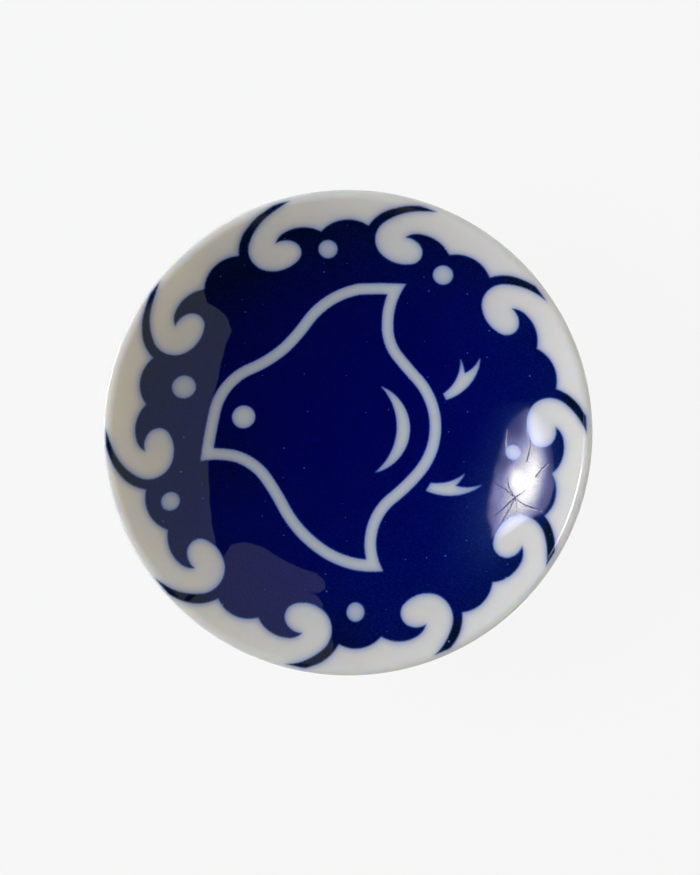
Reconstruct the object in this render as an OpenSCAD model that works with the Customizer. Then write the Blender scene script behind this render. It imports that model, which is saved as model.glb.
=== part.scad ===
// Soy sauce dish: a small round porcelain dish on a foot ring, with a ring of ten
// waves, spray drops and a plover printed in cobalt blue on its inner face.
// Millimetres, +Z up. The origin is the middle of the foot, on the table.

/* [Dish] */
// Diameter across the lip
dish_d = 95; // [85:1:105]
// Height from the table to the top of the lip
dish_h = 23; // [22.5:0.5:24]
// Depth of the inside, from the top of the lip to the middle of the floor
bowl_depth = 16.5; // [15.5:0.5:17.5]
// Thickness of the wall at the rounded lip
lip_t = 1.9; // [1.5:0.1:2.5]
// Radius of the curve of the outer wall, seen from the side
wall_r = 70; // [66:1:76]

/* [Foot ring] */
// Diameter across the foot where it leaves the wall
foot_d = 47.2; // [42:0.2:52]
// Height of the foot ring, up to its joint with the dish
foot_h = 4.6; // [4.2:0.1:5]
// Height on the outside at which the wall meets the foot
wall_foot_z = 6.2; // [5.8:0.1:6.4]
// Width of the foot ring at its joint with the dish
foot_w = 3.4; // [2.8:0.1:4]
// How far each side of the foot leans in, from its joint to its bevel
foot_taper = 0.5; // [0.2:0.1:0.6]
// Size of the trimmed bevel on both sides of the bare bottom edge
foot_bevel = 0.6; // [0.3:0.1:0.8]
// Thickness of the floor in the middle of the dish
floor_t = 3.5; // [2.5:0.1:4]

/* [Cobalt print] */
// Thickness of the fired cobalt layer
print_t = 0.2; // [0.1:0.05:0.3]
// How far the hand-laid print sits to the right of the middle
print_x = 0.35; // [-1:0.05:1]
// How far the hand-laid print sits above the middle, below it if negative
print_y = -0.65; // [-1:0.05:1]
// How far inside the edge of the dish the print is trimmed, on top of the lip
trim_in = 0.75; // [0.6:0.05:1.5]
// How far the trimming circle sits to the right of the middle
trim_x = -0.35; // [-0.4:0.05:0.4]

/* [Waves] */
// How far the first wave is turned clockwise from +Y, in degrees
wave_start = 15.3; // [0:0.1:36]
// How far the pulled print moves a wave along the ring at most, in degrees
wave_drift = 1.24; // [0:0.01:1.5]
// Direction in which that drift begins, in degrees clockwise from +Y
drift_from = -41.7; // [-180:0.1:180]
// Radius of the scallop between one wave and the next
scallop_r = 7; // [6:0.1:9]

/* [Plover] */
// Width of the white line round the plover
line_w = 2.08; // [1.4:0.02:2.4]
// Radius of the white eye
eye_r = 2.2; // [1:0.1:2.6]

/* [Hidden] */
$fn = 360;

// Places below are for a dish of this diameter, and scale with dish_d
drawn_d = 95;
print_scale = dish_d / drawn_d;
trim_r = dish_d / 2 - trim_in;
wave_count = 10;
wave_pitch = 360 / wave_count;

// Lip: a full round, with the bowl and the outer wall tangent to it
lip_r = lip_t / 2;
lip_c = [dish_d / 2 - lip_r, dish_h - lip_r];

// Bowl: a sphere that touches the lip, with its lowest point on the floor
floor_z = dish_h - bowl_depth;
lip_rise = lip_c[1] - floor_z;
bowl_r = (pow(lip_c[0], 2) + pow(lip_rise, 2) - pow(lip_r, 2)) / (2 * (lip_r + lip_rise));
bowl_c = [0, floor_z + bowl_r];
bowl_dir = (lip_c - bowl_c) / norm(lip_c - bowl_c);

// Outer wall: an arc from the foot to the outside of the lip
foot_top = [foot_d / 2, wall_foot_z];
wall_span = norm(lip_c - foot_top);
wall_dir = (lip_c - foot_top) / wall_span;
wall_along = (pow(wall_r, 2) - pow(wall_r - lip_r, 2) + pow(wall_span, 2)) / (2 * wall_span);
wall_up = sqrt(pow(wall_r, 2) - pow(wall_along, 2));
wall_c = foot_top + wall_along * wall_dir + wall_up * [-wall_dir[1], wall_dir[0]];
wall_out = (lip_c - wall_c) / norm(lip_c - wall_c);

// Underside: a ceiling inside the foot that dips towards the middle
recess_r = foot_d / 2 - foot_w;
ceiling_z = floor_z - floor_t;
ceiling_dip = foot_h - ceiling_z;
ceiling_r = (pow(recess_r, 2) + pow(ceiling_dip, 2)) / (2 * ceiling_dip);

// Spare length for cutting shapes, past anything they cut
spare = 3;

// Each outline is a list of corners [x, y, r]. r is the radius of the arc that
// leads to the next corner: above 0 it bulges to the left, below 0 to the right.
arc_step = 11;
arc_chord = 1.1;

// One wave, with the middle of the dish at [0, 0] and the rim towards +Y
wave = [
    [-8.1, 40.5, 8.1],      // foot of the stem, where the last scallop ends
    [-4.2, 45.3, 12],       // outer edge of the stem
    [-0.6, 46.9, 26],
    [8.8, 47.9, -70],       // tip of the stem, past the lip
    [0.9, 46.05, -11.9],    // inner edge of the stem
    [-5.25, 41.9, -4.3],    // back of the curl
    [-4.1, 35.7, -6.6],     // underside of the curl
    [2.4, 35.55, -2.3],     // nose of the curl
    [2.6, 39.35, -3.6],
    [-0.8, 40, 4],          // point of the notch
    [2.4, 41.75, 7.1],      // upper edge of the notch
    [8.6, 39.4, scallop_r]  // cusp, where the scallop begins
];

// Spray drops: distance from the middle, clockwise angle from +Y, diameter
drops = [
    [36.5, -6.7, 3.5],
    [36.1, 30.2, 3.7],
    [32.3, 96.8, 2.8],
    [35.4, 178.2, 3.3],
    [37.6, -110.6, 3.4],
    [33.8, -74.4, 4.4]
];

// Middle of the white line round the plover, counterclockwise from the upper wing tip
plover = [
    [9.2, 28.2, -95],       // upper wing tip
    [1.7, 28.1, -16.5],
    [-8.6, 21.3, 34.5],     // upper wing into the back of the head
    [-12.8, 16.4, 24],
    [-19.6, 12.2, -11.6],   // crown of the head
    [-26.6, 4.1, -100],
    [-28.2, -4.6, 18],      // beak
    [-22.8, -5.1, 12],
    [-17, -9.2, 54],        // throat into the lower wing
    [-13.2, -15.4, -22.5],
    [-6.2, -23.3, -17.7],
    [4.9, -26.7, 11],       // lower wing tip
    [4, -22.8, 11.5],
    [8.3, -13.8, -35],      // round tail
    [13.7, -8.5, -14.3],
    [13.3, 10, 80],
    [9.3, 14.7, 9.6],
    [7.4, 20.8, 15.3]
];
eye = [-21.05, 2.6];
folded_wing = [[6.3, 8.3, 9], [5.05, -8.7, -11.8]];
upper_foot = [
    [18.5, 7.2, -8], [21.8, 14.1, 9], [22.5, 11.3, -6.5],
    [25.5, 14.4, 9.5], [19, 6.1, 0]
];
lower_foot = [
    [16, -10.65, -9], [22.55, -8.7, 9], [20.7, -11, -8],
    [25.85, -10.65, 11], [15.15, -12.1, 0]
];

function place(corner) = [corner[0], corner[1]];

function left_of(v) = [-v[1], v[0]];

// A point turned clockwise round the middle of the dish
function turned(p, angle) = [
    p[0] * cos(angle) + p[1] * sin(angle),
    p[1] * cos(angle) - p[0] * sin(angle)
];

// Half the angle that the arc from p to q turns through
function half_turn(p, q, r) = r == 0 ? 0 : sign(r) * asin(norm(q - p) / (2 * abs(r)));

// Points along the arc from p to q, without q itself
function arc_points(p, q, r) = r == 0 ? [p] :
    let (
        half = half_turn(p, q, r),
        centre = (p + q) / 2 - left_of(q - p) / (2 * tan(half)),
        steps = ceil(max(abs(2 * half) / arc_step, norm(q - p) / arc_chord))
    )
    [for (i = [0 : steps - 1]) centre + turned(p - centre, 2 * half * i / steps)];

function outline(corners) = [
    for (i = [0 : len(corners) - 1])
        let (next = corners[(i + 1) % len(corners)])
        each arc_points(place(corners[i]), place(next), corners[i][2])
];

// Direction of travel at the start of the arc from one corner, or at its end
function heading(corners, i, at_end) =
    let (
        from = place(corners[i]),
        to = place(corners[(i + 1) % len(corners)]),
        half = half_turn(from, to, corners[i][2])
    )
    turned((to - from) / norm(to - from), at_end ? half : -half);

// The same outline moved to its left by a distance, with its sharp corners kept
function shifted(corners, by) = [
    for (i = [0 : len(corners) - 1])
        let (
            before = left_of(heading(corners, (i + len(corners) - 1) % len(corners), true)),
            after = left_of(heading(corners, i, false)),
            moved = place(corners[i]) + by * (before + after) / (1 + before * after)
        )
        [moved[0], moved[1], corners[i][2] + by]
];

// Clockwise angle of a wave from +Y: even steps, pulled along by the hand-laid print
function wave_turn(k) =
    let (even = wave_start + wave_pitch * k)
    even + wave_drift * sin(even - drift_from);

function ring_of_waves() = [
    for (k = [0 : wave_count - 1], corner = wave)
        let (p = turned(place(corner), wave_turn(k)))
        [p[0], p[1], corner[2]]
];

// Half section of the dish: floor and wall, lip, and the boss over the foot
module body_section() {
    difference() {
        union() {
            intersection() {
                translate(wall_c) circle(wall_r);
                polygon([
                    [0, foot_h],
                    [lip_c[0], foot_h],
                    lip_c + spare * wall_out,
                    lip_c,
                    lip_c - spare * bowl_dir,
                    [0, lip_c[1]]
                ]);
            }
            translate(lip_c) circle(lip_r);
            translate([0, foot_h]) square([foot_d / 2, floor_t]);
            intersection() {
                translate([0, ceiling_z + ceiling_r]) circle(ceiling_r);
                square([recess_r, foot_h]);
            }
        }
        translate(bowl_c) circle(bowl_r);
    }
}

// Half section of the foot ring, with a bevelled flat to stand on
module foot_section() {
    outer = foot_d / 2;
    polygon([
        [recess_r, foot_h],
        [recess_r + foot_taper, foot_bevel],
        [recess_r + foot_taper + foot_bevel, 0],
        [outer - foot_taper - foot_bevel, 0],
        [outer - foot_taper, foot_bevel],
        [outer, foot_h]
    ]);
}

// Half section of the cobalt layer: over the bowl, and on to the widest place of the lip
module print_section() {
    past_lip = bowl_c + (bowl_r + lip_t + spare) * bowl_dir;
    intersection() {
        translate(bowl_c) difference() {
            circle(bowl_r);
            circle(bowl_r - print_t);
        }
        polygon([bowl_c, [0, 0], [past_lip[0], 0], past_lip]);
    }
    intersection() {
        translate(lip_c) difference() {
            circle(lip_r + print_t);
            circle(lip_r);
        }
        polygon([bowl_c, past_lip, [past_lip[0], bowl_c[1]]]);
        translate([0, lip_c[1]]) square([past_lip[0], bowl_c[1]]);
    }
}

// Everything inside the ring of waves, trimmed on the lip
module sea_shape() {
    intersection() {
        polygon(outline(ring_of_waves()));
        translate([trim_x - print_x, -print_y]) circle(trim_r / print_scale);
    }
}

module drop_shapes() {
    for (drop = drops)
        translate(turned([0, drop[0]], drop[1])) circle(d = drop[2]);
}

module plover_feet() {
    polygon(outline(upper_foot));
    polygon(outline(lower_foot));
}

// Stands a flat shape of the print up and keeps its cobalt layer on the dish
module printed() {
    intersection() {
        rotate_extrude() print_section();
        translate([print_x, print_y, 0])
            linear_extrude(dish_h + spare)
                scale(print_scale) children();
    }
}

module dish_body() {
    color("#ece9e4") rotate_extrude() body_section();
}

module foot_ring() {
    color("#ddd2c2") rotate_extrude() foot_section();
}

module cobalt_sea() {
    color("#0a1266") printed() difference() {
        sea_shape();
        polygon(outline(shifted(plover, -line_w / 2)));
        plover_feet();
        drop_shapes();
    }
}

module cobalt_plover() {
    color("#0a1266") printed() difference() {
        polygon(outline(shifted(plover, line_w / 2)));
        translate(eye) circle(eye_r);
        polygon(outline(folded_wing));
    }
}

dish_body();
foot_ring();
cobalt_sea();
cobalt_plover();
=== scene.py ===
"""A soy sauce dish: glazed porcelain on a foot ring, with a cobalt print under the glaze.

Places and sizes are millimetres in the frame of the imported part. Meshes, lamps and the
camera are made in metres. The top of the photograph is +Y, and its right is +X.
"""

import bpy
import numpy as np
from mathutils import Matrix, Vector


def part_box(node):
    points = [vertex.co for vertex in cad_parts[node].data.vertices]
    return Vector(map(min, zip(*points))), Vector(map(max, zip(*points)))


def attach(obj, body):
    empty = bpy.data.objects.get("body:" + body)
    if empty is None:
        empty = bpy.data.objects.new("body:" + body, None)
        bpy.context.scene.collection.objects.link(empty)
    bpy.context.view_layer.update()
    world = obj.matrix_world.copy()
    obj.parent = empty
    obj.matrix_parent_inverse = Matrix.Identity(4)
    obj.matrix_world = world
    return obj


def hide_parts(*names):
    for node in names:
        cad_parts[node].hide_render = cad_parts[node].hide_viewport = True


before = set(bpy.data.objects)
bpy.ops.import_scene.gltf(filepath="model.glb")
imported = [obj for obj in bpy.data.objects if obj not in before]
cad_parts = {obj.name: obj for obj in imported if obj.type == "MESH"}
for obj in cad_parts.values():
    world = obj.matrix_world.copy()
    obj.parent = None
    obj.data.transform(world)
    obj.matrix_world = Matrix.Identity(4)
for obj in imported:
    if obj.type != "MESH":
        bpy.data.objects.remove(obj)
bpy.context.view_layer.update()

MM = 0.001

# Driving dimensions, from the frame
DISH_LOW, DISH_HIGH = (np.array(corner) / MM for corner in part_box("dish_body"))
FOOT_HIGH = np.array(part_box("foot_ring")[1]) / MM
DISH_R = DISH_HIGH[0]
DISH_H = DISH_HIGH[2]
CEILING_Z = DISH_LOW[2]
FOOT_R = FOOT_HIGH[0]
FOOT_H = FOOT_HIGH[2]

# Section of the dish. The lip is an arc over its top, the shoulder, and a tighter one round
# its outer edge, which starts at EDGE_FROM degrees above the level
BOWL_DEPTH = 16.5
SHOULDER_R = 2.0
EDGE_R = 0.45
EDGE_FROM = 83.0
WALL_R = 70.0
WALL_FOOT_Z = 6.2
WALL_FILLET = 1.2
FOOT_W = 3.4
FOOT_TAPER = 0.5
FOOT_BEVEL = 0.6
FOOT_ROUND = 0.45
RECESS_FILLET = 0.9
# Below about this height the foot is bare of glaze
GLAZE_STOP_Z = 0.75

# Distance between neighbouring vertices
FACE_STEP = 0.25
LIP_STEP = 0.12
EDGE_STEP = 0.07
BACK_STEP = 0.7
FOOT_STEP = 0.15
FOOT_COUNT = 480

# The print: where it sits, and the circle that trims it on the lip. The first wave is at
# WAVE_START degrees, and they are up to WAVE_DRIFT degrees away from even spacing
PRINT_AT = np.array([0.35, -0.65])
TRIM_R = DISH_R - 0.75
TRIM_X = -0.35
WAVE_COUNT = 10
WAVE_START = 15.3
WAVE_DRIFT = 1.24
DRIFT_FROM = -41.7
SCALLOP_R = 7.0
LINE_W = 2.08
EYE_R = 2.2

# An outline is a list of corners (x, y, r). r is the radius of the arc that leads to the
# next corner: above 0 it bulges to the left of the way of travel, below 0 to the right.
# One wave, with the middle of the dish at (0, 0) and the rim towards +Y
WAVE = [
    (-8.1, 40.5, 8.1),       # foot of the stem, where the last scallop ends
    (-4.2, 45.3, 12),        # outer edge of the stem
    (-0.6, 46.9, 26),
    (8.8, 47.9, -70),        # tip of the stem, past the lip
    (0.9, 46.05, -11.9),     # inner edge of the stem
    (-5.25, 41.9, -4.3),     # back of the curl
    (-4.1, 35.7, -6.6),      # underside of the curl
    (2.4, 35.55, -2.3),      # nose of the curl
    (2.6, 39.35, -3.6),
    (-0.8, 40, 4),           # point of the notch
    (2.4, 41.75, 7.1),       # upper edge of the notch
    (8.6, 39.4, SCALLOP_R),  # cusp, where the scallop begins
]
# Spray drops: distance from the middle, clockwise angle from +Y, diameter
DROPS = [
    (36.5, -6.7, 3.5),
    (36.1, 30.2, 3.7),
    (32.3, 96.8, 2.8),
    (35.4, 178.2, 3.3),
    (37.6, -110.6, 3.4),
    (33.8, -74.4, 4.4),
]
# Middle of the white line round the plover, counterclockwise from the upper wing tip
PLOVER = [
    (9.2, 28.2, -95),
    (1.7, 28.1, -16.5),
    (-8.6, 21.3, 34.5),
    (-12.8, 16.4, 24),
    (-19.6, 12.2, -11.6),
    (-26.6, 4.1, -100),
    (-28.2, -4.6, 18),
    (-22.8, -5.1, 12),
    (-17, -9.2, 54),
    (-13.2, -15.4, -22.5),
    (-6.2, -23.3, -17.7),
    (4.9, -26.7, 11),
    (4, -22.8, 11.5),
    (8.3, -13.8, -35),
    (13.7, -8.5, -14.3),
    (13.3, 10, 80),
    (9.3, 14.7, 9.6),
    (7.4, 20.8, 15.3),
]
EYE = (-21.05, 2.6)
FOLDED_WING = [(6.3, 8.3, 9), (5.05, -8.7, -11.8)]
UPPER_FOOT = [
    (18.5, 7.2, -8), (21.8, 14.1, 9), (22.5, 11.3, -6.5), (25.5, 14.4, 9.5), (19, 6.1, 0),
]
LOWER_FOOT = [
    (16, -10.65, -9), (22.55, -8.7, 9), (20.7, -11, -8), (25.85, -10.65, 11),
    (15.15, -12.1, 0),
]

# White is darkened within about this distance of cobalt: its bleed, and painted shade
NEAR_REACH = 0.35
NEAR_GRID = 0.2
# The drops get this bleed and painted shade as if this share of cobalt were added
DROPS_BLEED_AND_SHADE = 0.12
# Distance inside the cobalt that is written where there is no print at all
NO_COBALT = -9.0


# Outlines of arcs

def left_of(v):
    return np.array([-v[1], v[0]])


def turned(v, angle):
    """v turned clockwise by an angle in degrees."""
    c, s = np.cos(np.radians(angle)), np.sin(np.radians(angle))
    return np.array([v[0] * c + v[1] * s, v[1] * c - v[0] * s])


def sides(corners):
    """The start, end and radius of each side of an outline."""
    for i, corner in enumerate(corners):
        following = corners[(i + 1) % len(corners)]
        yield np.array(corner[:2], float), np.array(following[:2], float), corner[2]


def half_turn(start, end, r):
    """Half the angle, in degrees, that the arc turns through."""
    if r == 0:
        return 0.0
    return np.sign(r) * np.degrees(np.arcsin(np.linalg.norm(end - start) / (2 * abs(r))))


def shifted(corners, by):
    """The same outline moved to its left by a distance, with its sharp corners kept."""
    ways_in, ways_out = [], []
    for start, end, r in sides(corners):
        way = (end - start) / np.linalg.norm(end - start)
        half = half_turn(start, end, r)
        ways_out.append(left_of(turned(way, -half)))
        ways_in.append(left_of(turned(way, half)))
    moved = []
    for i, (x, y, r) in enumerate(corners):
        before, after = ways_in[i - 1], ways_out[i]
        at = np.array([x, y]) + by * (before + after) / (1 + before @ after)
        moved.append((at[0], at[1], r + by))
    return moved


def inside_by(points, corners):
    """How far each point is inside an outline, below 0 outside it."""
    x, y = points.T
    nearest = np.full(len(points), np.inf)
    inside = np.zeros(len(points), bool)
    for start, end, r in sides(corners):
        chord = end - start
        length = np.linalg.norm(chord)
        if chord[1] != 0:
            crossing = start[0] + (y - start[1]) * chord[0] / chord[1]
            inside ^= ((start[1] > y) != (end[1] > y)) & (x < crossing)
        left = ((y - start[1]) * chord[0] - (x - start[0]) * chord[1]) / length
        if r == 0:
            along = ((x - start[0]) * chord[0] + (y - start[1]) * chord[1]) / length
            beside = (along > 0) & (along < length)
            away = np.abs(left)
        else:
            middle = (start + end) / 2
            tangent = np.tan(np.radians(half_turn(start, end, r)))
            centre = middle - left_of(chord) / (2 * tangent)
            from_centre = np.hypot(x - centre[0], y - centre[1])
            reach = np.linalg.norm(middle - centre)
            towards = (points - centre) @ (middle - centre) / reach
            beside = towards > from_centre * reach / abs(r)
            away = np.abs(from_centre - abs(r))
            inside ^= (from_centre < abs(r)) & (left * np.sign(r) > 0)
        nearest[beside] = np.minimum(nearest, away)[beside]
        nearest = np.minimum(nearest, np.hypot(x - start[0], y - start[1]))
    return np.where(inside, nearest, -nearest)


def ring_of_waves():
    corners = []
    for k in range(WAVE_COUNT):
        even = WAVE_START + 360 / WAVE_COUNT * k
        angle = even + WAVE_DRIFT * np.sin(np.radians(even - DRIFT_FROM))
        corners += [(*turned((x, y), angle), r) for x, y, r in WAVE]
    return corners


def disc_by(points, centre, r):
    """How far each point is inside a circle, below 0 outside it."""
    return r - np.hypot(points[:, 0] - centre[0], points[:, 1] - centre[1])


def drops_by(points):
    """How far each point of the print is inside a spray drop, below 0 outside them all."""
    return np.max([
        disc_by(points, turned((0, distance), angle), diameter / 2)
        for distance, angle, diameter in DROPS
    ], axis=0)


def cobalt_by(points):
    """How far each point of the dish, seen from above, is inside the cobalt."""
    points = points - PRINT_AT
    trim = disc_by(points, np.array([TRIM_X, 0]) - PRINT_AT, TRIM_R)
    sea = np.minimum(inside_by(points, ring_of_waves()), trim)
    sea = np.minimum(sea, -inside_by(points, shifted(PLOVER, -LINE_W / 2)))
    for feet in (UPPER_FOOT, LOWER_FOOT):
        sea = np.minimum(sea, -inside_by(points, feet))
    sea = np.minimum(sea, -drops_by(points))
    plover = inside_by(points, shifted(PLOVER, LINE_W / 2))
    plover = np.minimum(plover, -disc_by(points, EYE, EYE_R))
    plover = np.minimum(plover, -inside_by(points, FOLDED_WING))
    return np.maximum(sea, plover)


def cobalt_near(points):
    """Share of cobalt round each point, weighted by nearness: 0 in open white."""
    half = int(np.ceil((DISH_R + 6 * NEAR_REACH) / NEAR_GRID))
    ticks = np.arange(-half, half + 1) * NEAR_GRID
    x, y = np.meshgrid(ticks, ticks, indexing="ij")
    grid = np.stack([x.ravel(), y.ravel()], 1)
    cover = np.clip(0.5 + cobalt_by(grid) / NEAR_GRID, 0, 1).reshape(x.shape)
    weight = np.exp(-np.hypot(x, y) / NEAR_REACH)
    weight /= weight.sum()
    spread = np.fft.rfft2(np.fft.ifftshift(weight))
    blurred = np.fft.irfft2(np.fft.rfft2(cover) * spread, cover.shape)
    at = points / NEAR_GRID + half
    low = np.clip(np.floor(at).astype(int), 0, 2 * half - 1)
    u, v = (at - low).T
    i, j = low.T
    return (
        blurred[i, j] * (1 - u) * (1 - v)
        + blurred[i + 1, j] * u * (1 - v)
        + blurred[i, j + 1] * (1 - u) * v
        + blurred[i + 1, j + 1] * u * v
    )


# Sections: rows of r, z and the outward normal's r and z

def section_arc(centre, r, start, end, step, outward=1):
    """An arc from one angle to another, in degrees, without its last point."""
    count = max(2, int(np.ceil(abs(np.radians(end - start)) * r / step)))
    angle = np.radians(np.linspace(start, end, count + 1)[:-1])
    ray = np.stack([np.cos(angle), np.sin(angle)], 1)
    return np.hstack([np.array(centre) + r * ray, outward * ray])


def section_line(start, end, normal, step):
    """A straight stretch, without its last point."""
    start, end = np.array(start, float), np.array(end, float)
    count = max(1, int(np.ceil(np.linalg.norm(end - start) / step)))
    share = np.linspace(0, 1, count + 1)[:-1, None]
    points = start + share * (end - start)
    return np.hstack([points, np.tile(normal, (count, 1))])


def angle_of(v):
    return np.degrees(np.arctan2(v[1], v[0]))


def lip_centres():
    """Centres of the arcs over the top of the lip and round its outer edge."""
    way = np.array([np.cos(np.radians(EDGE_FROM)), np.sin(np.radians(EDGE_FROM))])
    shoulder_z = DISH_H - SHOULDER_R
    shoulder_at = np.array([DISH_R - EDGE_R - (SHOULDER_R - EDGE_R) * way[0], shoulder_z])
    return shoulder_at, shoulder_at + (SHOULDER_R - EDGE_R) * way


def face_section():
    """The bowl and the lip, from the middle of the floor to the start of the outer wall."""
    shoulder_at, edge_at = lip_centres()
    floor_z = DISH_H - BOWL_DEPTH
    rise = shoulder_at[1] - floor_z
    bowl_r = (shoulder_at[0] ** 2 + rise**2 - SHOULDER_R**2) / (2 * (SHOULDER_R + rise))
    bowl_at = np.array([0, floor_z + bowl_r])
    to_lip = angle_of(shoulder_at - bowl_at)
    to_wall = angle_of(edge_at - wall_centre(edge_at))
    return np.vstack([
        section_arc(bowl_at, bowl_r, -90, to_lip, FACE_STEP, outward=-1),
        section_arc(shoulder_at, SHOULDER_R, to_lip + 180, EDGE_FROM, LIP_STEP),
        section_arc(edge_at, EDGE_R, EDGE_FROM, to_wall, EDGE_STEP),
    ])


def wall_centre(edge_at):
    """Centre of the outer wall's arc, which touches the lip and ends at the foot."""
    foot_at = np.array([FOOT_R, WALL_FOOT_Z])
    span = np.linalg.norm(edge_at - foot_at)
    along = (WALL_R**2 - (WALL_R - EDGE_R) ** 2 + span**2) / (2 * span)
    way = (edge_at - foot_at) / span
    return foot_at + along * way + np.sqrt(WALL_R**2 - along**2) * left_of(way)


def back_section():
    """The outer wall, its fillet over the foot, and the ceiling inside the foot."""
    edge_at = lip_centres()[1]
    wall_at = wall_centre(edge_at)
    reach = WALL_R + WALL_FILLET
    fillet_r = FOOT_R + WALL_FILLET
    fillet_z = wall_at[1] - np.sqrt(reach**2 - (fillet_r - wall_at[0]) ** 2)
    fillet_at = np.array([fillet_r, fillet_z])
    meet = angle_of(fillet_at - wall_at)
    recess_r = FOOT_R - FOOT_W
    dip = FOOT_H - CEILING_Z
    ceiling_r = (recess_r**2 + dip**2) / (2 * dip)
    ceiling_at = np.array([0, CEILING_Z + ceiling_r])
    edge = angle_of(np.array([recess_r, FOOT_H]) - ceiling_at)
    return np.vstack([
        section_arc(wall_at, WALL_R, angle_of(edge_at - wall_at), meet, BACK_STEP),
        section_arc(fillet_at, WALL_FILLET, meet + 180, 180, FOOT_STEP, outward=-1),
        section_line((FOOT_R, fillet_z), (FOOT_R, FOOT_H), (1, 0), BACK_STEP),
        section_line((FOOT_R, FOOT_H), (recess_r, FOOT_H), (0, -1), BACK_STEP),
        section_arc(ceiling_at, ceiling_r, edge, -90, BACK_STEP),
        [[0, CEILING_Z, 0, -1]],
    ])


def rounded_section(corners, step):
    """A closed section, clockwise, from corners (r, z, rounding)."""
    rows = []
    count = len(corners)
    points = [np.array(corner[:2], float) for corner in corners]
    for i, (_, _, rounding) in enumerate(corners):
        before, at, after = points[i - 1], points[i], points[(i + 1) % count]
        way_in = (at - before) / np.linalg.norm(at - before)
        way_out = (after - at) / np.linalg.norm(after - at)
        turn = np.degrees(np.arctan2(-(way_in @ left_of(way_out)), way_in @ way_out))
        cut = rounding * np.tan(np.radians(abs(turn)) / 2)
        start, side = at - cut * way_in, -np.sign(turn) * left_of(way_in)
        if rounding > 0:
            centre = start - rounding * side
            first = angle_of(side)
            rows.append(section_arc(
                centre, rounding, first, first + turn, step, outward=-np.sign(turn)
            ))
        end = at + cut * way_out
        rows.append([[*end, *left_of(way_out)]])
    return np.vstack(rows)


def foot_section():
    """The foot ring, with its bottom edge rounded and a fillet under the dish."""
    recess_r = FOOT_R - FOOT_W
    inner, outer = recess_r + FOOT_TAPER, FOOT_R - FOOT_TAPER
    return rounded_section([
        (FOOT_R, FOOT_H, 0),
        (outer, FOOT_BEVEL, FOOT_ROUND),
        (outer - FOOT_BEVEL, 0, FOOT_ROUND),
        (inner + FOOT_BEVEL, 0, FOOT_ROUND),
        (inner, FOOT_BEVEL, FOOT_ROUND),
        (recess_r, FOOT_H - RECESS_FILLET, RECESS_FILLET),
        (recess_r - RECESS_FILLET, FOOT_H, 0),
    ], FOOT_STEP)


# Meshes

def ring_counts(section, steps):
    """How many vertices each ring of a surface has, in sixths of a turn."""
    return [
        1 if row[0] < 1e-6 else 6 * max(1, round(2 * np.pi * row[0] / (6 * step)))
        for row, step in zip(section, steps)
    ]


def strip(first_a, count_a, first_b, count_b):
    """Triangles between two rings of evenly spaced vertices."""
    b = np.arange(count_b)
    across = np.floor((b + 0.5) * count_a / count_b + 0.5).astype(int)
    faces = []
    if count_b > 1:
        faces.append(np.stack([
            first_a + across % count_a, first_b + b, first_b + (b + 1) % count_b
        ], 1))
    if count_a > 1:
        a = np.arange(count_a)
        beside = np.searchsorted(across, a, side="right") % count_b
        faces.append(np.stack([
            first_a + a, first_b + beside, first_a + (a + 1) % count_a
        ], 1))
    return faces


def turn_section(name, section, counts, closed=False):
    """A smooth solid made by turning a section, and its vertices in millimetres."""
    firsts = np.concatenate([[0], np.cumsum(counts)])
    points, normals = [], []
    for (r, z, normal_r, normal_z), count in zip(section, counts):
        angle = 2 * np.pi * np.arange(count) / count
        ray = np.stack([np.cos(angle), np.sin(angle)], 1)
        points.append(np.hstack([r * ray, np.full((count, 1), z)]))
        normals.append(np.hstack([normal_r * ray, np.full((count, 1), normal_z)]))
    points, normals = np.vstack(points), np.vstack(normals)
    faces = []
    for i in range(len(counts) - 1 + closed):
        j = (i + 1) % len(counts)
        faces += strip(firsts[i], counts[i], firsts[j], counts[j])
    mesh = bpy.data.meshes.new(name)
    mesh.from_pydata(points * MM, [], np.vstack(faces).tolist())
    mesh.polygons.foreach_set("use_smooth", np.ones(len(mesh.polygons), bool))
    mesh.normals_split_custom_set_from_vertices(normals.tolist())
    mesh.update()
    piece = bpy.data.objects.new(name, mesh)
    bpy.context.scene.collection.objects.link(piece)
    return piece, points


def add_values(piece, name, values):
    attribute = piece.data.attributes.new(name, "FLOAT", "POINT")
    attribute.data.foreach_set("value", values.astype(np.float32))


def make_dish():
    front = face_section()
    back = back_section()
    section = np.vstack([front, back])
    steps = [FACE_STEP] * len(front) + [BACK_STEP] * len(back)
    counts = ring_counts(section, steps)
    piece, points = turn_section("glazed_dish", section, counts)
    face = np.arange(len(points)) < sum(counts[:len(front)])
    inside = np.full(len(points), NO_COBALT)
    inside[face] = cobalt_by(points[face, :2])
    near = np.zeros(len(points))
    near[face] = cobalt_near(points[face, :2])
    # Extra bleed and painted shade on the white drops
    near[face] += np.where(drops_by(points[face, :2] - PRINT_AT) > 0, DROPS_BLEED_AND_SHADE, 0)
    outer_lip = face & (points[:, 2] < lip_centres()[1][1])
    outer_lip &= np.hypot(points[:, 0], points[:, 1]) > DISH_R - EDGE_R
    inside[outer_lip] = np.minimum(inside[outer_lip], -1)
    near[outer_lip] = 0
    add_values(piece, "cobalt_by", inside)
    add_values(piece, "cobalt_near", near)
    return piece


def make_foot():
    section = foot_section()
    return turn_section("foot", section, [FOOT_COUNT] * len(section), closed=True)[0]


# Materials

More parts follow.
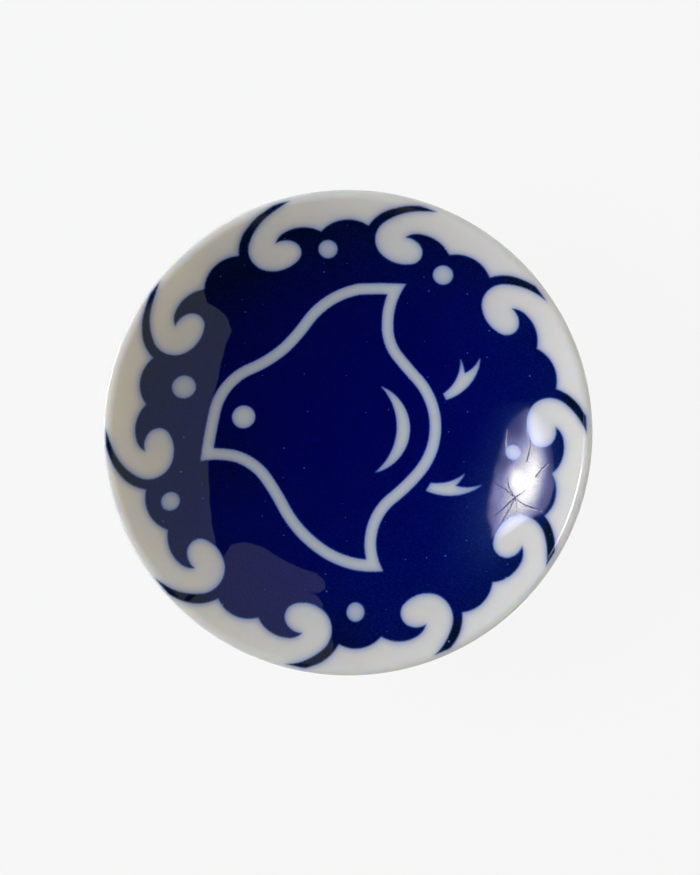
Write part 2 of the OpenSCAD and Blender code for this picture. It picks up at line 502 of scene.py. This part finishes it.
class Shader:
    """Adds nodes to one material or world and links them."""

    def __init__(self, owner):
        owner.use_nodes = True
        self.tree = owner.node_tree
        self.tree.nodes.clear()

    def put(self, socket, value):
        if isinstance(value, bpy.types.NodeSocket):
            self.tree.links.new(value, socket)
        elif value is not None:
            socket.default_value = value

    def add(self, kind, *values, **settings):
        node = self.tree.nodes.new("ShaderNode" + kind)
        for name, value in settings.items():
            setattr(node, name, value)
        for socket, value in zip(node.inputs, values):
            self.put(socket, value)
        return node

    def math(self, operation, *values):
        return self.add("Math", *values, operation=operation).outputs[0]

    def remap(self, value, low, high, to_low=0.0, to_high=1.0, smooth=True):
        kind = "SMOOTHSTEP" if smooth else "LINEAR"
        node = self.add("MapRange", interpolation_type=kind)
        for name, amount in (("Value", value), ("From Min", low), ("From Max", high),
                             ("To Min", to_low), ("To Max", to_high)):
            self.put(node.inputs[name], amount)
        return node.outputs["Result"]

    def mix(self, share, a, b, blend="MIX"):
        node = self.add("Mix", data_type="RGBA", blend_type=blend)
        for i, value in ((0, share), (6, a), (7, b)):
            self.put(node.inputs[i], value)
        return node.outputs[2]

    def attribute(self, name):
        return self.add("Attribute", attribute_name=name).outputs["Fac"]

    def place(self):
        return self.add("TexCoord").outputs["Object"]

    def noise(self, place, size, detail=2.0, roughness=0.5):
        """Noise around 0.5 whose blots are about size millimetres wide."""
        node = self.add("TexNoise")
        for name, value in (("Vector", place), ("Scale", 1 / (size * MM)),
                            ("Detail", detail), ("Roughness", roughness)):
            self.put(node.inputs[name], value)
        return node.outputs["Fac"]

    def finish(self, surface, kind="OutputMaterial"):
        self.put(self.add(kind).inputs["Surface"], surface)


WHITE = (0.80, 0.80, 0.79, 1)
# What the print lets through where it is full: in the middle, towards the lip, where it is
# thick, and in the stems over the lip
BLUE_COBALT = (0.0010, 0.0019, 0.257, 1)
GREENER_COBALT = (0.0016, 0.0243, 0.314, 1)
DARK_COBALT = (0.0029, 0.0137, 0.0846, 1)
STEM_COBALT = (0.0080, 0.0221, 0.0641, 1)
# What reaches the eye from white that has cobalt all round it: bleed and painted shade
BLEED_AND_SCATTER_SHADE = (0.273, 0.350, 0.705, 1)
# How far it has turned to the greener colour: at this distance from the middle, by metres
# to the right and up, and in patches
PRINT_REACH = 42.0
GREENER_AT_REACH = 0.75
GREENER_PER_M = (5.0, -9.0, 0)
PATCH_SIZE = 9
PATCH_AMOUNT = 0.7
# How far to the dark one: at that distance, by metres (and then squared), at its edges,
# where it is pooled within about POOL_REACH, and in thick places: middle, reach and amount
DARK_AT_REACH = 0.38
DARK_PER_M = (-7.0, 19.5, 0)
DARK_AT_EDGE = 0.18
POOL_REACH = 1.5
THICK_AT = [((-23, -8), 13, 0.40), ((-21, 30), 12, 0.20), ((-2, -41), 11, 0.30)]
# The print has its full colour of a stem beyond the second of these distances
STEM_FROM, STEM_TO = 41.5, 43.5

# The film of cobalt fades out between these distances inside its edge, which wanders by
# FRINGE with the size FRINGE_SIZE. Its grain: size, detail and how much thickness varies
FILM_FROM, FILM_TO = -0.08, 0.50
FRINGE = 0.10
FRINGE_SIZE = 0.5
GRAINS = [(0.35, 2, 1.2), (2.2, 3, 0.2)]
# Pinholes, at most one in a cell of PINHOLE_CELL: the share of cells without one, the least
# radius and how much more it can be, as shares of a cell, and the film that is left in one
PINHOLE_CELL = 4
NO_PINHOLE = 0.7
PINHOLE_MIN, PINHOLE_MORE = 0.015, 0.03
PINHOLE_FILM = 0.18

# The glaze: ripples in it, and how rough and how strong its gloss is, from and to
RIPPLE_SIZE = 5.0
RIPPLE_DEPTH = 0.02
GLAZE_ROUGH = (0.012, 0.03)
GLAZE_GLOSS = (0.42, 0.58)
PORCELAIN_IOR = 1.5
# How far red, green and blue light spreads under it
SCATTER = (3.0, 2.2, 1.5)

# The bare edge of the foot: its colours, the wander and fade of the glaze's end, and the
# size and depth of its grain
BARE_DARK = (0.60, 0.55, 0.47, 1)
BARE_LIGHT = (0.74, 0.70, 0.63, 1)
GLAZE_STOP_WANDER = 0.5
GLAZE_STOP_FADE = 0.12
BARE_ROUGH = 0.75
FOOT_GLAZE_ROUGH = 0.06
BARE_GRAIN = 0.25
BARE_GRAIN_DEPTH = 0.05


def cobalt_colour(shader, place):
    """The colour of the print where it is full."""
    flat = shader.add("VectorMath", place, (1, 1, 0), operation="MULTIPLY").outputs[0]
    reach = shader.add("VectorMath", flat, operation="LENGTH").outputs["Value"]
    outwards = shader.math("DIVIDE", reach, PRINT_REACH * MM)
    drift = shader.add(
        "VectorMath", place, GREENER_PER_M, operation="DOT_PRODUCT").outputs["Value"]
    hue = shader.math(
        "MULTIPLY_ADD", shader.math("POWER", outwards, 3.0), GREENER_AT_REACH, drift)
    patches = shader.math(
        "MULTIPLY_ADD", shader.noise(place, PATCH_SIZE, detail=3), PATCH_AMOUNT,
        -PATCH_AMOUNT / 2)
    cobalt = shader.mix(shader.math("ADD", hue, patches), BLUE_COBALT, GREENER_COBALT)

    upwards = shader.add(
        "VectorMath", place, DARK_PER_M, operation="DOT_PRODUCT").outputs["Value"]
    dark = shader.math("POWER", shader.math("MAXIMUM", upwards, 0.0), 2.0)
    dark = shader.math(
        "MULTIPLY_ADD", shader.math("POWER", outwards, 5.0), DARK_AT_REACH, dark)
    from_edge = shader.math("MAXIMUM", shader.attribute("cobalt_by"), 0.0)
    pooled = shader.math("EXPONENT", shader.math("MULTIPLY", from_edge, -1 / POOL_REACH))
    dark = shader.math("MULTIPLY_ADD", pooled, DARK_AT_EDGE, dark)
    for (x, y), size, amount in THICK_AT:
        away = shader.add("VectorMath", flat, (x * MM, y * MM, 0), operation="DISTANCE")
        spot = shader.remap(away.outputs["Value"], 0, size * MM, amount, 0.0)
        dark = shader.math("ADD", dark, spot)
    cobalt = shader.mix(dark, cobalt, DARK_COBALT)
    in_stem = shader.remap(reach, STEM_FROM * MM, STEM_TO * MM)
    return shader.mix(in_stem, cobalt, STEM_COBALT)


def film_thickness(shader, place):
    """How much of the print's full thickness is there."""
    by = shader.attribute("cobalt_by")
    fringe = shader.math(
        "MULTIPLY_ADD", shader.noise(place, FRINGE_SIZE, detail=1), FRINGE, -FRINGE / 2)
    film = shader.remap(shader.math("ADD", by, fringe), FILM_FROM, FILM_TO)
    thickness = 1.0
    for size, detail, amount in GRAINS:
        grain = shader.noise(place, size, detail)
        thickness = shader.math("ADD", thickness, shader.math(
            "MULTIPLY_ADD", grain, amount, -amount / 2))
    film = shader.math("MULTIPLY", film, thickness)
    left = shader.remap(pinholes(shader, place), 0, 1, 1.0, PINHOLE_FILM)
    return shader.math("MULTIPLY", film, left)


def pinholes(shader, place):
    """Sparse pinholes in the print: 1 in one and 0 beside it."""
    cells = shader.add("TexVoronoi", voronoi_dimensions="2D")
    shader.put(cells.inputs["Vector"], place)
    shader.put(cells.inputs["Scale"], 1 / (PINHOLE_CELL * MM))
    chosen = shader.add("SeparateXYZ", cells.outputs["Color"]).outputs
    some = shader.math("GREATER_THAN", chosen[0], NO_PINHOLE)
    width = shader.math("MULTIPLY_ADD", chosen[1], PINHOLE_MORE, PINHOLE_MIN)
    spot = shader.math("LESS_THAN", cells.outputs["Distance"], width)
    return shader.math("MULTIPLY", spot, some)


def glaze_material():
    material = bpy.data.materials.new("glazed_porcelain")
    shader = Shader(material)
    place = shader.place()
    film = shader.add("Gamma", cobalt_colour(shader, place), film_thickness(shader, place))
    # White near cobalt is darkened: the cobalt's bleed, and painted shade of light lost under
    # it
    bleed_and_scatter_shade = shader.add("Gamma", BLEED_AND_SCATTER_SHADE, shader.attribute("cobalt_near"))
    body = shader.mix(1.0, WHITE, film.outputs[0], blend="MULTIPLY")
    body = shader.mix(1.0, body, bleed_and_scatter_shade.outputs[0], blend="MULTIPLY")
    bump = shader.add("Bump")
    shader.put(bump.inputs["Strength"], 1.0)
    shader.put(bump.inputs["Distance"], RIPPLE_DEPTH * MM)
    shader.put(bump.inputs["Height"], shader.noise(place, RIPPLE_SIZE, detail=1))
    surface = shader.add("BsdfPrincipled")
    shader.put(surface.inputs["Base Color"], body)
    shader.put(surface.inputs["Roughness"], shader.remap(
        shader.noise(place, 9, detail=4), 0.3, 0.7, *GLAZE_ROUGH))
    shader.put(surface.inputs["IOR"], PORCELAIN_IOR)
    shader.put(surface.inputs["Specular IOR Level"], shader.remap(
        shader.noise(place, 0.35, detail=2), 0.25, 0.75, *GLAZE_GLOSS, smooth=False))
    shader.put(surface.inputs["Subsurface Weight"], 1.0)
    shader.put(surface.inputs["Subsurface Radius"], SCATTER)
    shader.put(surface.inputs["Subsurface Scale"], MM)
    shader.put(surface.inputs["Normal"], bump.outputs[0])
    shader.finish(surface.outputs[0])
    return material


def foot_material():
    material = bpy.data.materials.new("foot_porcelain")
    shader = Shader(material)
    place = shader.place()
    z = shader.add("SeparateXYZ", place).outputs[2]
    wander = shader.noise(place, 4, detail=3)
    level = shader.math(
        "MULTIPLY_ADD", wander, GLAZE_STOP_WANDER * MM,
        (GLAZE_STOP_Z - GLAZE_STOP_WANDER / 2) * MM)
    glazed = shader.remap(z, level, shader.math("ADD", level, GLAZE_STOP_FADE * MM))
    grain = shader.noise(place, BARE_GRAIN, detail=4, roughness=0.7)
    bare = shader.mix(grain, BARE_DARK, BARE_LIGHT)
    surface = shader.add("BsdfPrincipled")
    shader.put(surface.inputs["Base Color"], shader.mix(glazed, bare, WHITE))
    shader.put(surface.inputs["Roughness"], shader.remap(
        glazed, 0, 1, BARE_ROUGH, FOOT_GLAZE_ROUGH))
    shader.put(surface.inputs["IOR"], PORCELAIN_IOR)
    bump = shader.add("Bump")
    shader.put(bump.inputs["Strength"], shader.remap(glazed, 0, 1, 0.6, 0.0))
    shader.put(bump.inputs["Distance"], BARE_GRAIN_DEPTH * MM)
    shader.put(bump.inputs["Height"], grain)
    shader.put(surface.inputs["Normal"], bump.outputs[0])
    shader.finish(surface.outputs[0])
    return material


# The studio. Distances from the middle of the foot are metres here

BACKGROUND = (0.93, 0.93, 0.93, 1)
FLOOR_LIT = (0.9, 0.9, 0.9, 1)
FLOOR_SEEN = (0.94, 0.94, 0.94, 1)
# The share of FLOOR_SEEN in the floor that the camera sees. The rest holds the shadow
FLOOR_PLAIN = 0.96
FLOOR_HALF = 6.0


def direction(azimuth, elevation):
    """Unit vector, with both angles in degrees and azimuth counterclockwise from +X."""
    a, e = np.radians(azimuth), np.radians(elevation)
    return Vector((np.cos(e) * np.cos(a), np.cos(e) * np.sin(a), np.sin(e)))


def unseen(piece, glossy=True, diffuse=True):
    """Hides a light from the camera, and from the glaze or the light on white if asked."""
    piece.visible_camera = False
    piece.visible_glossy = glossy
    piece.visible_diffuse = diffuse
    piece.visible_shadow = False
    piece.visible_transmission = False
    piece.visible_volume_scatter = False


def glow(name, colour, strength):
    material = bpy.data.materials.new(name)
    shader = Shader(material)
    shader.finish(shader.add("Emission", colour, strength).outputs[0])
    return material


def stage_mesh(name, points, faces, material):
    mesh = bpy.data.meshes.new(name)
    mesh.from_pydata([tuple(p) for p in points], [], faces)
    mesh.materials.append(material)
    piece = bpy.data.objects.new(name, mesh)
    bpy.context.scene.collection.objects.link(piece)
    return piece


def make_floor():
    """A pale floor that keeps the shadow and is clear when seen from below."""
    material = bpy.data.materials.new("floor")
    shader = Shader(material)
    rays = shader.add("LightPath").outputs
    seen = shader.math("ADD", rays["Is Camera Ray"], rays["Is Glossy Ray"])
    seen = shader.math("ADD", seen, rays["Is Transmission Ray"])
    share = shader.math("MULTIPLY", seen, FLOOR_PLAIN)
    lit = shader.add("BsdfDiffuse", FLOOR_LIT).outputs[0]
    plain = shader.add("Emission", FLOOR_SEEN, 1.0).outputs[0]
    top = shader.add("MixShader", share, lit, plain).outputs[0]
    below = shader.add("NewGeometry").outputs["Backfacing"]
    clear = shader.add("BsdfTransparent").outputs[0]
    shader.finish(shader.add("MixShader", below, top, clear).outputs[0])
    half = FLOOR_HALF
    corners = [(-half, -half, 0), (half, -half, 0), (half, half, 0), (-half, half, 0)]
    stage_mesh("floor", corners, [(0, 1, 2, 3)], material)


# The umbrella lamp on the left, by the directions (azimuth, elevation) in which the glaze
# shows it. Angles across are counted from its middle and shrunk, so that both are alike
UMBRELLA_R = 1.2
UMBRELLA_AT = (172.0, 36.0)
SHRINK = 0.81
UMBRELLA = [
    (192.9, 40.7), (194.9, 37.7), (195.7, 34.3), (190.8, 30.4), (186.5, 28.7), (180.5, 27.4),
    (173, 26.5), (168.5, 26.7), (164.8, 28.1), (162, 31.3), (158.9, 33.8), (154.9, 35.8),
    (151, 37.4), (150.2, 40), (152.5, 41.4), (155.9, 44.7), (161.8, 46.1), (168.2, 46.4),
    (175.8, 46.3), (182.9, 44.7), (189.2, 42.8),
]
# The cloth's own brightness, and the glows of the flash on it: middle, half sizes, tilt, and
# how bright
CLOTH_BRIGHT = 0.5
GLOWS = [
    ((172.4, 39.3), (2.0, 1.7), 7, 21.0),
    ((173.8, 33.8), (5.4, 1.8), 174, 17.0),
    ((179.0, 37.0), (7.2, 2.7), 55, 4.2),
    ((171.4, 37.3), (10.4, 2.2), 170, 10.0),
    ((166.1, 43.6), (13.0, 4.1), 76, 4.2),
    ((166.5, 35.2), (3.6, 2.2), 170, 5.5),
]
# Its edge is soft over fewer degrees below than above: height, and softness there
EDGE_SOFT = [(-8, 6), (0.7, 2.6)]
# A haze spreads from one corner, and another falls off from the edge
HAZE_AT = (156.0, 42.0)
HAZE_HALF = (11.0, 8.0)
HAZE_BRIGHT = 0.15
EDGE_HAZE_BRIGHT = 0.2
EDGE_HAZE_REACH = 4.0
# The cloth reaches over these angles, haze included, in cells of CLOTH_STEP
CLOTH_ACROSS = (-38.0, 21.0)
CLOTH_UP = (-15.0, 22.0)
CLOTH_STEP = 0.5
# Lines on the cloth, as directions: the ribs, whose ends meet at the hub, and bright folds.
# Their half widths are degrees, along a line and at its end, and the share of UMBRELLA_R
# at which they lie puts them in front of the cloth
LINE_HALF = 0.17
LINE_TIP_HALF = 0.06
RIBS_AT = 0.99
FOLDS_AT = 0.995
HUB = (166.7, 38.4)
RIBS = [
    [HUB, (168.3, 41.6), (169.1, 44.7), (170.3, 46.5)],
    [HUB, (161.1, 40.9), (156.1, 43.6)],
    [HUB, (158.5, 39.5), (152.7, 39.9)],
    [HUB, (162.1, 36.3)],
    [HUB, (165.4, 34.7), (165.2, 32.5), (165.1, 26.5)],
    [HUB, (169.4, 40.9), (172.4, 42.1)],
    [HUB, (169.9, 35.4)],
    [(174.4, 33.1), (177.4, 31.4), (179.8, 29.5)],
    [(178.7, 36.3), (184.2, 35.4), (190.2, 35.5)],
    [(176.9, 40.8), (179.4, 41.9), (182.8, 43)],
]
FOLDS = [
    [(178.1, 36.7), (183.8, 35.9), (189.6, 36.2)],
    [(181.3, 42.8), (183.5, 43.2), (189.2, 42.2)],
    [(164.9, 34.4), (164.6, 32), (165.4, 28.1)],
    [(174.4, 32.6), (177, 30.9), (179.2, 29)],
    [(165.4, 38.6), (161.3, 39.8), (157.2, 40.2)],
]


def cloth_angles(place):
    """Angles across and up from the middle of the umbrella."""
    return np.array([(place[0] - UMBRELLA_AT[0]) * SHRINK, place[1] - UMBRELLA_AT[1]])


def cloth_glow(points):
    """How bright the cloth is at each point (across, up)."""
    total = np.full(len(points), CLOTH_BRIGHT)
    for middle, halves, tilt, peak in GLOWS:
        away = points - cloth_angles(middle)
        along = turned((1, 0), -tilt)
        squares = (away @ along / halves[0]) ** 2 + (away @ left_of(along) / halves[1]) ** 2
        total += peak * np.exp(-squares / 2)
    outline = [(*cloth_angles(place), 0) for place in UMBRELLA]
    softness = np.interp(points[:, 1], *EDGE_SOFT)
    inside = inside_by(points, outline)
    share = np.clip((inside + 0.3 * softness) / softness, 0, 1)
    away = (points - cloth_angles(HAZE_AT)) / HAZE_HALF
    haze = HAZE_BRIGHT * np.exp(-(away**2).sum(1) / 2)
    haze += EDGE_HAZE_BRIGHT * np.exp(np.minimum(inside, 0) / EDGE_HAZE_REACH)
    return total * share**2 * (3 - 2 * share) + haze


def cloth_material():
    """White cloth, bluish where little light comes through."""
    material = bpy.data.materials.new("umbrella_cloth")
    shader = Shader(material)
    bright = shader.attribute("bright")
    colour = shader.mix(
        shader.remap(bright, 0.2, 1.2), (0.5, 1.1, 1.9, 1), (1.0, 1.03, 1.7, 1))
    colour = shader.mix(shader.remap(bright, 1.0, 16.0), colour, (1.0, 0.98, 0.95, 1))
    shader.finish(shader.add("Emission", colour, bright).outputs[0])
    return material


def make_umbrella():
    across, up = (
        np.arange(low, high + CLOTH_STEP / 2, CLOTH_STEP)
        for low, high in (CLOTH_ACROSS, CLOTH_UP)
    )
    points = np.array([(a, b) for a in across for b in up])
    places = [
        direction(UMBRELLA_AT[0] + a / SHRINK, UMBRELLA_AT[1] + b) * UMBRELLA_R
        for a, b in points
    ]
    rows = len(up)
    faces = [
        (i * rows + j, i * rows + j + 1, (i + 1) * rows + j + 1, (i + 1) * rows + j)
        for i in range(len(across) - 1) for j in range(rows - 1)
    ]
    cloth = stage_mesh("umbrella_cloth", places, faces, cloth_material())
    add_values(cloth, "bright", cloth_glow(points))
    unseen(cloth, diffuse=False)
    make_lines("umbrella_ribs", RIBS, glow("umbrella_rib", (0.75, 0.65, 1.0, 1), 3.0), RIBS_AT)
    make_lines(
        "umbrella_folds", FOLDS, glow("umbrella_fold", (1.0, 0.93, 0.97, 1), 13.0), FOLDS_AT)


def make_lines(name, lines, material, share):
    """Thin strips along lines of directions, in front of the cloth."""
    points, faces = [], []
    for line in lines:
        places = [direction(*place) * UMBRELLA_R * share for place in line]
        for i, at in enumerate(places):
            way = places[min(i + 1, len(places) - 1)] - places[max(i - 1, 0)]
            half = LINE_HALF if i < len(places) - 1 else LINE_TIP_HALF
            side = way.cross(at).normalized() * UMBRELLA_R * np.radians(half)
            points += [at - side, at + side]
            if i:
                a = len(points) - 4
                faces.append((a, a + 1, a + 3, a + 2))
    unseen(stage_mesh(name, points, faces, material), diffuse=False)


# Two grey cards on the right and behind, which the glaze alone shows, on its left and lower
# left, by the directions in which their outlines are seen
CARD_R = 1.4
RIGHT_CARD = [
    (-60, -8), (-54, 15), (-50, 24.6), (-48.9, 28.2), (-49.6, 32.1), (-49.3, 36.6),
    (-47.5, 40.6), (-42.5, 42.7), (-37.3, 43.9), (-30.7, 44.7), (-24.7, 45.1), (-9.4, 45.4),
    (5.7, 45.6), (21.1, 45.3), (27.7, 43.9), (34, 42.5), (38.2, 41.4), (40, 30), (41, 10),
    (41, -8),
]
BACK_CARD = [
    (42, -8), (42, 20), (41, 38), (38, 46), (41, 49.6), (48.5, 52), (61.4, 52.5),
    (70.4, 52.7), (76.2, 52.3), (80.2, 50.5), (81.1, 48.4), (78.6, 46.7), (74.9, 46.8),
    (78.8, 46), (81.6, 43.8), (80.8, 40), (86, 32), (87, 24), (88, -8),
]


def make_cards():
    for name, outline, colour in (
        ("right_card", RIGHT_CARD, (0.47, 0.53, 0.52, 1)),
        ("back_card", BACK_CARD, (0.45, 0.45, 0.52, 1)),
    ):
        points = [direction(*place) * CARD_R for place in outline]
        faces = [tuple(range(len(points)))]
        unseen(stage_mesh(name, points, faces, glow(name, colour, 1.0)), diffuse=False)


# Dim light from the sides, on all that isn't a reflection: from and to azimuth, from and to
# elevation, and its colour
SIDE_R = 2.0
SIDE_STEP = 5
SIDE_LIGHTS = [
    (-30, 35, 0, 24, (1.75, 1.65, 1.40, 1)),
    (-30, 35, 24, 45, (0.95, 0.96, 0.97, 1)),
    (130, 210, 0, 24, (1.60, 1.20, 0.62, 1)),
    (60, 280, 24, 50, (0.25, 0.28, 0.17, 1)),
]


def make_side_lights():
    for i, (start, end, low, high, colour) in enumerate(SIDE_LIGHTS):
        heights = SIDE_R * np.tan(np.radians([low, high]))
        turns = np.radians(np.arange(start, end + 1, SIDE_STEP))
        points = [
            (SIDE_R * np.cos(t), SIDE_R * np.sin(t), z) for t in turns for z in heights
        ]
        faces = [(2 * k, 2 * k + 1, 2 * k + 3, 2 * k + 2) for k in range(len(turns) - 1)]
        name = f"side_light_{i}"
        unseen(stage_mesh(name, points, faces, glow(name, colour, 1.0)), glossy=False)


# The key lamp, in the umbrella: azimuth and elevation, width and height, watts and colour
KEY_AT = (168, 35)
KEY_SIZE = (0.75, 0.40)
KEY_POWER = 11.8
KEY_COLOUR = (0.755, 0.82, 1.0)


def make_key_lamp():
    """The umbrella's light on what isn't a reflection."""
    lamp = bpy.data.lights.new("key", "AREA")
    lamp.shape = "ELLIPSE"
    lamp.size, lamp.size_y = KEY_SIZE
    lamp.energy = KEY_POWER
    lamp.color = KEY_COLOUR
    lamp_object = bpy.data.objects.new("key", lamp)
    way = direction(*KEY_AT)
    lamp_object.matrix_world = (
        Matrix.Translation(way * UMBRELLA_R) @ way.to_track_quat("Z", "Y").to_matrix().to_4x4()
    )
    lamp_object.visible_camera = False
    lamp_object.visible_glossy = False
    bpy.context.scene.collection.objects.link(lamp_object)


# The room: dark, above pale surroundings that reach up to this height of the view
ROOM = (0.008, 0.014, 0.018, 1)
ROOM_LOW = (0.95, 0.88, 0.80, 1)
LOW_TO = (0.08, 0.24)


def make_world():
    """A dark room over the pale surroundings of the table."""
    world = bpy.data.worlds.new("studio")
    bpy.context.scene.world = world
    shader = Shader(world)
    up = shader.add("SeparateXYZ", shader.add("TexCoord").outputs["Generated"]).outputs[2]
    low = shader.remap(up, *LOW_TO, 1.0, 0.0)
    room = shader.mix(low, ROOM, ROOM_LOW)
    lit = shader.add("Background", room, 1.0).outputs[0]
    seen = shader.add("Background", BACKGROUND, 1.0).outputs[0]
    camera_ray = shader.add("LightPath").outputs["Is Camera Ray"]
    mixed = shader.add("MixShader", camera_ray, lit, seen).outputs[0]
    shader.finish(mixed, kind="OutputWorld")


# The camera, almost straight above the dish, leaning towards the top of the photograph: its
# place in millimetres, the way from the dish to it, and its sensor and lens in millimetres
CAMERA_AT = np.array([4.9, 84.7, 717.8])
CAMERA_BACK = Vector((0.0064, 0.1217, 0.9925))
SENSOR_H = 24.0
LENS = 98.92


def make_camera():
    data = bpy.data.cameras.new("camera")
    data.sensor_fit = "VERTICAL"
    data.sensor_height = SENSOR_H
    data.lens = LENS
    data.clip_start = 0.01
    data.clip_end = 50
    back = CAMERA_BACK.normalized()
    right = Vector((0, 1, 0)).cross(back).normalized()
    up = back.cross(right)
    turn = Matrix((right, up, back)).transposed().to_4x4()
    camera = bpy.data.objects.new("camera", data)
    camera.matrix_world = Matrix.Translation(CAMERA_AT * MM) @ turn
    bpy.context.scene.collection.objects.link(camera)
    bpy.context.scene.camera = camera


def main():
    make_camera()
    make_world()
    make_floor()
    make_umbrella()
    make_cards()
    make_side_lights()
    make_key_lamp()

    dish = make_dish()
    dish.data.materials.append(glaze_material())
    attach(dish, "root")
    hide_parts("dish_body", "cobalt_sea", "cobalt_plover")

    foot = make_foot()
    foot.data.materials.append(foot_material())
    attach(foot, "root")
    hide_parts("foot_ring")

    bpy.context.scene.view_settings.view_transform = "Standard"


main()
